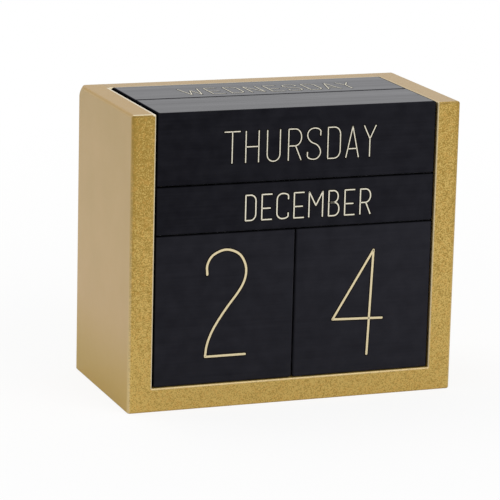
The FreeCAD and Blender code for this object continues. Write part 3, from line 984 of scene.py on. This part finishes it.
def make_sky(settings):
    """White for what the camera, reflections and clear things see, and softer as a light."""
    world = bpy.data.worlds.new("studio")
    bpy.context.scene.world = world
    world.use_nodes = True
    tree = world.node_tree
    tree.nodes.clear()
    path = tree.nodes.new("ShaderNodeLightPath")
    seen = None
    for output in ("Is Camera Ray", "Is Glossy Ray", "Is Transmission Ray"):
        if seen is None:
            seen = path.outputs[output]
            continue
        either = tree.nodes.new("ShaderNodeMath")
        either.operation = "MAXIMUM"
        tree.links.new(seen, either.inputs[0])
        tree.links.new(path.outputs[output], either.inputs[1])
        seen = either.outputs[0]
    strength = tree.nodes.new("ShaderNodeMapRange")
    strength.inputs["To Min"].default_value = settings.sky
    strength.inputs["To Max"].default_value = 1.0
    tree.links.new(seen, strength.inputs["Value"])
    background = tree.nodes.new("ShaderNodeBackground")
    background.inputs["Color"].default_value = (1, 1, 1, 1)
    tree.links.new(strength.outputs[0], background.inputs["Strength"])
    out = tree.nodes.new("ShaderNodeOutputWorld")
    tree.links.new(background.outputs[0], out.inputs["Surface"])


def make_lamp(name, place, target, size, power):
    """A large soft square lamp that looks at a point."""
    lamp = bpy.data.lights.new(name, "AREA")
    lamp.shape = "SQUARE"
    lamp.size = size
    lamp.energy = power
    lamp_object = bpy.data.objects.new(name, lamp)
    back = (Vector(place) - Vector(target)).normalized()
    lamp_object.matrix_world = Matrix.Translation(place) @ back.to_track_quat("Z", "Y").to_matrix().to_4x4()
    bpy.context.scene.collection.objects.link(lamp_object)


def make_camera():
    """Camera at the photograph's angle: azimuth and elevation round the case, a slight roll, its
    distance, how far it looks past the case's middle, and its focal length in widths of the picture."""
    azimuth, elevation, roll = (math.radians(angle) for angle in (-20.7761, 13.3018, 1.4372))
    distance, aside, raised, focal = 1.004917, -0.0050995, -0.0044265, 5.82745
    back = Vector((math.sin(azimuth) * math.cos(elevation), -math.cos(azimuth) * math.cos(elevation),
                   math.sin(elevation)))
    level = Vector((0, 0, 1)).cross(back).normalized()
    above = back.cross(level)
    right = math.cos(roll) * level + math.sin(roll) * above
    up = -math.sin(roll) * level + math.cos(roll) * above
    middle = Vector((0, 0, case_box()[1].z / 2))
    place = middle + distance * back + aside * right + raised * up
    data = bpy.data.cameras.new("camera")
    data.sensor_width = 36.0
    data.lens = focal * data.sensor_width
    data.clip_start = 0.05
    data.clip_end = 50.0
    camera = bpy.data.objects.new("camera", data)
    camera.matrix_world = Matrix.Translation(place) @ Matrix((right, up, back)).transposed().to_4x4()
    bpy.context.scene.collection.objects.link(camera)
    bpy.context.scene.camera = camera


class SetStage(bpy.types.Operator):
    """Set up the floor, the light and the camera"""

    bl_idname = "calendar.set_stage"
    bl_label = "Set stage"

    def execute(self, context):
        settings = context.scene.calendar_stage
        make_floor(settings)
        make_sky(settings)
        target = (0, 0, 0.05)
        make_lamp("key", (0.75, -1.35, 1.05), target, 1.3, settings.key)
        make_lamp("overhead", (-0.40, 0.45, 1.25), target, 0.8, settings.fill)
        make_camera()
        context.scene.view_settings.view_transform = "Standard"
        return {"FINISHED"}


OPERATORS = (PaintCase, SandCorner, FinishBrads, StainBlocks,
             LetterNumberBlocks, LetterMonthBars, LetterDayBars, SetStage)


class CalendarPanel(bpy.types.Panel):
    """Settings and steps of the desk calendar."""

    bl_idname = "VIEW3D_PT_desk_calendar"
    bl_label = "Desk calendar"
    bl_space_type = "VIEW_3D"
    bl_region_type = "UI"
    bl_category = "Calendar"

    def draw(self, context):
        for name, group in SETTINGS.items():
            box = self.layout.box()
            for setting in group.__annotations__:
                box.prop(getattr(context.scene, name), setting)
        for operator in OPERATORS:
            self.layout.operator(operator.bl_idname)


def register():
    for group in SETTINGS.values():
        bpy.utils.register_class(group)
    for kind in (*OPERATORS, CalendarPanel):
        bpy.utils.register_class(kind)
    for name, group in SETTINGS.items():
        setattr(bpy.types.Scene, name, bpy.props.PointerProperty(type=group))


def unregister():
    for name in SETTINGS:
        delattr(bpy.types.Scene, name)
    for kind in (CalendarPanel, *reversed(OPERATORS)):
        bpy.utils.unregister_class(kind)
    for group in SETTINGS.values():
        bpy.utils.unregister_class(group)


def main():
    """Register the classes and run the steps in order."""
    register()
    for operator in OPERATORS:
        group, step = operator.bl_idname.split(".")
        getattr(getattr(bpy.ops, group), step)()


if __name__ == "__main__":
    main()
